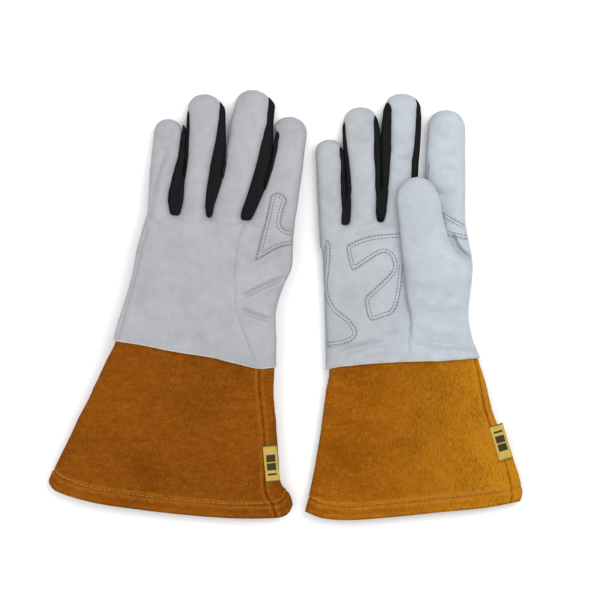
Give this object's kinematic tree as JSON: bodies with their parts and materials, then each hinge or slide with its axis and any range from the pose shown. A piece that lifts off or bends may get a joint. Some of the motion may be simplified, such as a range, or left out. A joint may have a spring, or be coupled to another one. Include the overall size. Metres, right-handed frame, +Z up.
{
  "type": "pair of TIG welding gloves",
  "caption": "Pair of goatskin TIG welding gloves with black side strips and flared brown suede cuffs, lying flat, one back up and one palm up.",
  "frame": {"origin": "on the floor, in the middle of the pair's bounding box", "axes": "+X from the left glove to the right glove, +Y from the cuffs to the finger tips, +Z up"},
  "size_m": [0.3762, 0.3414, 0.0296],
  "materials": {
    "goatskin": "satin",
    "black_leather": "satin",
    "split_suede": "matte",
    "label_cloth": "matte"
  },
  "bodies": {
    "left_hand": {"left_back_panel": "goatskin", "left_thumb_base": "goatskin", "left_palm_panel": "goatskin", "left_pinky_ring_crotch_strip": "black_leather", "left_ring_middle_crotch_strip": "black_leather", "left_middle_index_crotch_strip": "black_leather", "left_palm_patch": "goatskin", "left_heel_patch": "goatskin", "left_index_patch": "goatskin"},
    "left_pinky": {"left_pinky_strip": "black_leather", "left_pinky_back": "goatskin", "left_pinky_front": "goatskin"},
    "left_ring": {"left_ring_left_strip": "black_leather", "left_ring_right_strip": "black_leather", "left_ring_back": "goatskin", "left_ring_front": "goatskin"},
    "left_middle": {"left_middle_left_strip": "black_leather", "left_middle_right_strip": "black_leather", "left_middle_back": "goatskin", "left_middle_front": "goatskin"},
    "left_index": {"left_index_strip": "black_leather", "left_index_wrap": "goatskin"},
    "left_thumb": {"left_thumb_back": "goatskin", "left_thumb_front": "goatskin"},
    "left_cuff": {"left_cuff_panel": "split_suede", "left_cuff_gusset": "split_suede", "left_cuff_label": "label_cloth"},
    "right_hand": {"right_back_panel": "goatskin", "right_thumb_base": "goatskin", "right_palm_panel": "goatskin", "right_pinky_ring_crotch_strip": "black_leather", "right_ring_middle_crotch_strip": "black_leather", "right_middle_index_crotch_strip": "black_leather", "right_palm_patch": "goatskin", "right_heel_patch": "goatskin", "right_index_patch": "goatskin"},
    "right_pinky": {"right_pinky_strip": "black_leather", "right_pinky_back": "goatskin", "right_pinky_front": "goatskin"},
    "right_ring": {"right_ring_left_strip": "black_leather", "right_ring_right_strip": "black_leather", "right_ring_back": "goatskin", "right_ring_front": "goatskin"},
    "right_middle": {"right_middle_left_strip": "black_leather", "right_middle_right_strip": "black_leather", "right_middle_back": "goatskin", "right_middle_front": "goatskin"},
    "right_index": {"right_index_strip": "black_leather", "right_index_wrap": "goatskin"},
    "right_thumb": {"right_thumb_back": "goatskin", "right_thumb_front": "goatskin"},
    "right_cuff": {"right_cuff_panel": "split_suede", "right_cuff_gusset": "split_suede", "right_cuff_label": "label_cloth"}
  },
  "joints": [
    {"name": "left_pinky_bend", "type": "hinge", "parent": "left_hand", "child": "left_pinky", "pos_m": [-0.09631, 0.10222, 0.00809], "axis": [-0.9962, 0.0872, 0], "range_deg": [0, 90]},
    {"name": "left_ring_bend", "type": "hinge", "parent": "left_hand", "child": "left_ring", "pos_m": [-0.06973, 0.10946, 0.00825], "axis": [-0.9919, 0.1271, 0], "range_deg": [0, 90]},
    {"name": "left_middle_bend", "type": "hinge", "parent": "left_hand", "child": "left_middle", "pos_m": [-0.03736, 0.1085, 0.00835], "axis": [-0.9796, 0.2011, 0], "range_deg": [0, 90]},
    {"name": "left_index_bend", "type": "hinge", "parent": "left_hand", "child": "left_index", "pos_m": [-0.00463, 0.09841, 0.00789], "axis": [-0.981, 0.1942, 0], "range_deg": [0, 90]},
    {"name": "left_thumb_open", "type": "hinge", "parent": "left_hand", "child": "left_thumb", "pos_m": [-0.03862, -0.01186, 0], "axis": [-0.9986, 0.0523, 0], "range_deg": [0, 70]},
    {"name": "left_cuff_fold", "type": "hinge", "parent": "left_hand", "child": "left_cuff", "pos_m": [-0.07089, -0.04137, 0.02881], "axis": [-0.9874, 0.1582, 0], "range_deg": [0, 90]},
    {"name": "right_pinky_bend", "type": "hinge", "parent": "right_hand", "child": "right_pinky", "pos_m": [0.03586, 0.08662, 0.014], "axis": [0.9991, 0.0419, 0], "range_deg": [0, 90]},
    {"name": "right_ring_bend", "type": "hinge", "parent": "right_hand", "child": "right_ring", "pos_m": [0.06052, 0.09913, 0.014], "axis": [0.9996, 0.0297, 0], "range_deg": [0, 90]},
    {"name": "right_middle_bend", "type": "hinge", "parent": "right_hand", "child": "right_middle", "pos_m": [0.09155, 0.10514, 0.014], "axis": [0.9998, -0.0175, 0], "range_deg": [0, 90]},
    {"name": "right_index_bend", "type": "hinge", "parent": "right_hand", "child": "right_index", "pos_m": [0.12551, 0.10343, 0.014], "axis": [0.9995, -0.0314, 0], "range_deg": [0, 90]},
    {"name": "right_thumb_open", "type": "hinge", "parent": "right_hand", "child": "right_thumb", "pos_m": [0.11284, 0.00814, 0.0296], "axis": [0.9956, 0.0941, 0], "range_deg": [0, 70]},
    {"name": "right_cuff_fold", "type": "hinge", "parent": "right_hand", "child": "right_cuff", "pos_m": [0.09367, -0.04736, 0.0153], "axis": [-0.9978, -0.0663, 0], "range_deg": [0, 90]},
    {"name": "left_glove_lift", "type": "slide", "parent": "right_hand", "child": "left_hand", "axis": [0, 0, 1], "range_m": [0, 0.15]}
  ]
}
